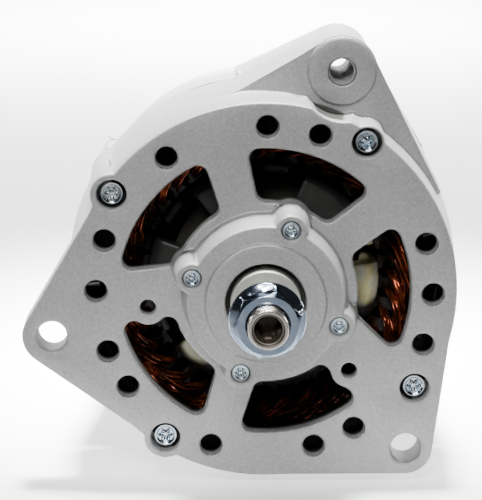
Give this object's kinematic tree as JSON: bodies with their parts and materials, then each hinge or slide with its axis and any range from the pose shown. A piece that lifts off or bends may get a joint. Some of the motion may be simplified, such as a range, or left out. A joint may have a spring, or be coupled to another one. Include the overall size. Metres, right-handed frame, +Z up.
{
  "type": "alternator",
  "caption": "Claw-pole alternator with a windowed aluminium end shield, bored ears and upper lug, and a threaded shaft with flange nut for a pulley.",
  "frame": {"origin": "centre of the shaft's front end face, on the shaft's axis", "axes": "-Y along the shaft out of the drive end, +Z up as installed with the adjusting lug on top, +X to the right seen from the front"},
  "size_m": [0.1821, 0.203, 0.1862],
  "materials": {
    "cast": "blasted aluminium casting, satin",
    "core": "varnished electrical steel",
    "copper": "enamelled copper wire, varnished",
    "zinc": "bright zinc plate",
    "steel": "turned and ground steel",
    "pole": "forged iron, varnished black",
    "rubber": "moulded rubber seal",
    "plastic": "glass-filled black moulding",
    "bobbin": "natural nylon",
    "carbon": "pressed carbon",
    "brass": "turned copper alloy",
    "sink": "stamped aluminium plate"
  },
  "bodies": {
    "housing": {"drive_end_shield": "cast", "slip_ring_end_shield": "cast", "stator_core": "core", "stator_winding": "copper", "housing_screws": "zinc", "bearing_retainer": "steel", "retainer_screws": "zinc", "front_bearing_outer_ring": "steel", "front_bearing_seals": "rubber", "rear_bearing_outer_ring": "steel", "rear_bearing_seals": "rubber", "front_brush_spring": "steel", "rear_brush_spring": "steel", "brush_holder": "plastic", "regulator": "sink", "regulator_screws": "zinc", "rectifier_board": "plastic", "positive_heat_sink": "sink", "negative_heat_sink": "sink", "positive_diodes": "steel", "negative_diodes": "steel", "exciter_diodes": "plastic", "rectifier_screws": "zinc", "battery_stud": "zinc", "ground_stud": "zinc", "battery_insulator": "plastic", "terminal_washers": "zinc", "terminal_nuts": "zinc", "signal_studs": "brass", "signal_insulators": "plastic", "signal_nuts": "brass"},
    "rotor": {"rotor_shaft": "steel", "pulley_nut": "zinc", "thrust_collar": "steel", "front_bearing_inner_ring": "steel", "rotor_spacer": "steel", "front_claw_pole": "pole", "rear_claw_pole": "pole", "pole_core": "pole", "field_bobbin": "bobbin", "field_winding": "copper", "slip_ring_sleeve": "plastic", "front_slip_ring": "brass", "rear_slip_ring": "brass", "rear_bearing_inner_ring": "steel"},
    "front_ball_cage": {"front_bearing_cage": "steel"},
    "rear_ball_cage": {"rear_bearing_cage": "steel"},
    "front_brush": {"front_brush": "carbon"},
    "rear_brush": {"rear_brush": "carbon"}
  },
  "joints": [
    {"name": "rotor_spin", "type": "hinge", "parent": "housing", "child": "rotor", "pos_m": [0, 0.05, 0], "axis": [0, 1, 0], "continuous": true},
    {"name": "front_cage_spin", "type": "hinge", "parent": "housing", "child": "front_ball_cage", "pos_m": [0, 0.052, 0], "axis": [0, 1, 0], "continuous": true},
    {"name": "rear_cage_spin", "type": "hinge", "parent": "housing", "child": "rear_ball_cage", "pos_m": [0, 0.1765, 0], "axis": [0, 1, 0], "continuous": true},
    {"name": "front_brush_slide", "type": "slide", "parent": "housing", "child": "front_brush", "axis": [0, 0, 1], "range_m": [0, 0.004], "stiffness_N_per_m": 30, "springref_m": -0.01, "deforming": ["front_brush_spring"]},
    {"name": "rear_brush_slide", "type": "slide", "parent": "housing", "child": "rear_brush", "axis": [0, 0, 1], "range_m": [0, 0.004], "stiffness_N_per_m": 30, "springref_m": -0.01, "deforming": ["rear_brush_spring"]}
  ],
  "couplings": [
    {"joint": "front_cage_spin", "follows": "rotor_spin", "ratio": 0.364},
    {"joint": "rear_cage_spin", "follows": "rotor_spin", "ratio": 0.381}
  ]
}
